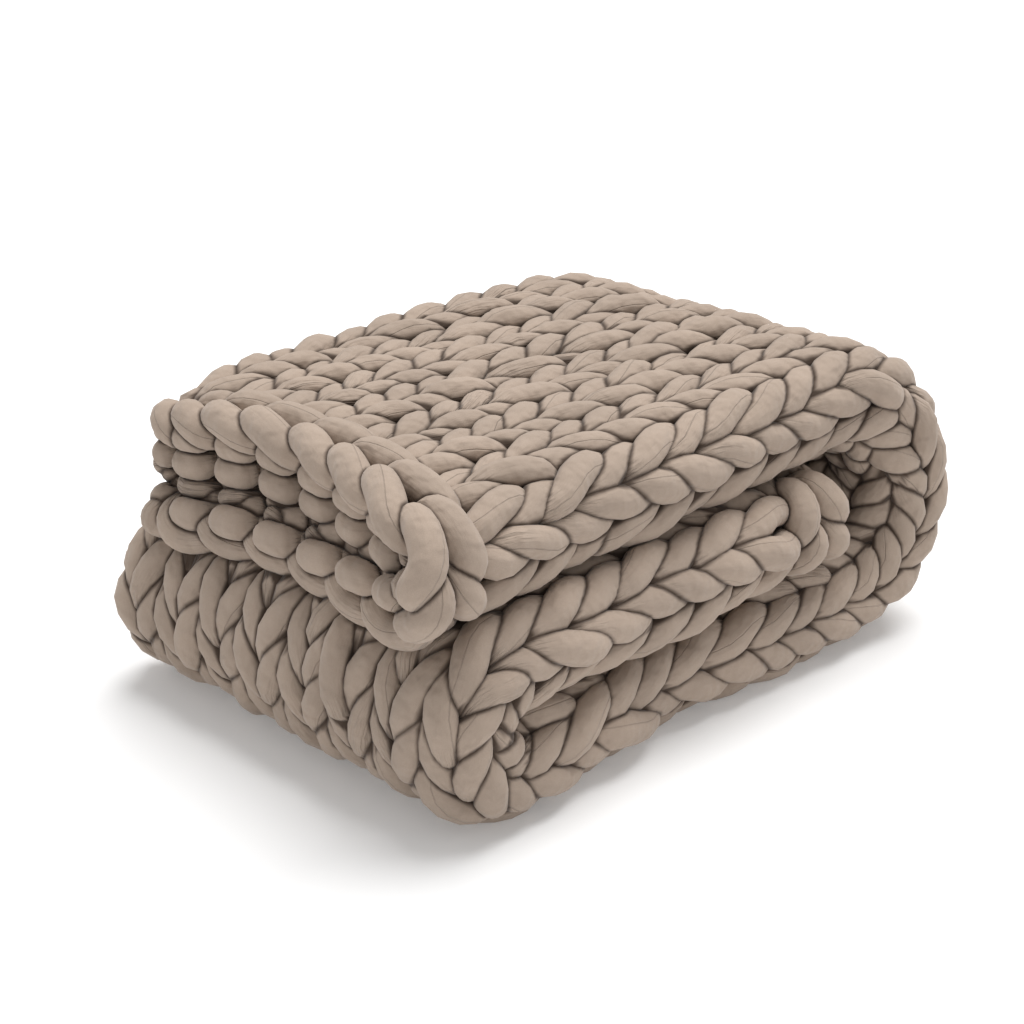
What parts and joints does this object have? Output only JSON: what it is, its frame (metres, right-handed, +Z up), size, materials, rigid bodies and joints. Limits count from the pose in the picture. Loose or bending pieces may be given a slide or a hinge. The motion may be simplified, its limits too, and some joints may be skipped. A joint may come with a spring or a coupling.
{
  "type": "weighted blanket",
  "caption": "Chunky hand-knit weighted blanket in a stuffed cotton tube, doubled lengthwise and rolled into a low rectangular stack of passes.",
  "frame": {"origin": "on the floor, under the middle of the folded stack's bounding box", "axes": "+X along the columns of stitches, from the open left edge to the large turn; +Y from the near fold to the selvedges; +Z up"},
  "size_m": [0.707, 0.4716, 0.3055],
  "materials": {
    "cotton_jersey": "matt taupe cotton jersey tube with a fine rib, a felled seam and small puckers where the loops bend"
  },
  "bodies": {
    "root": {"blanket": "cotton_jersey"}
  },
  "joints": []
}
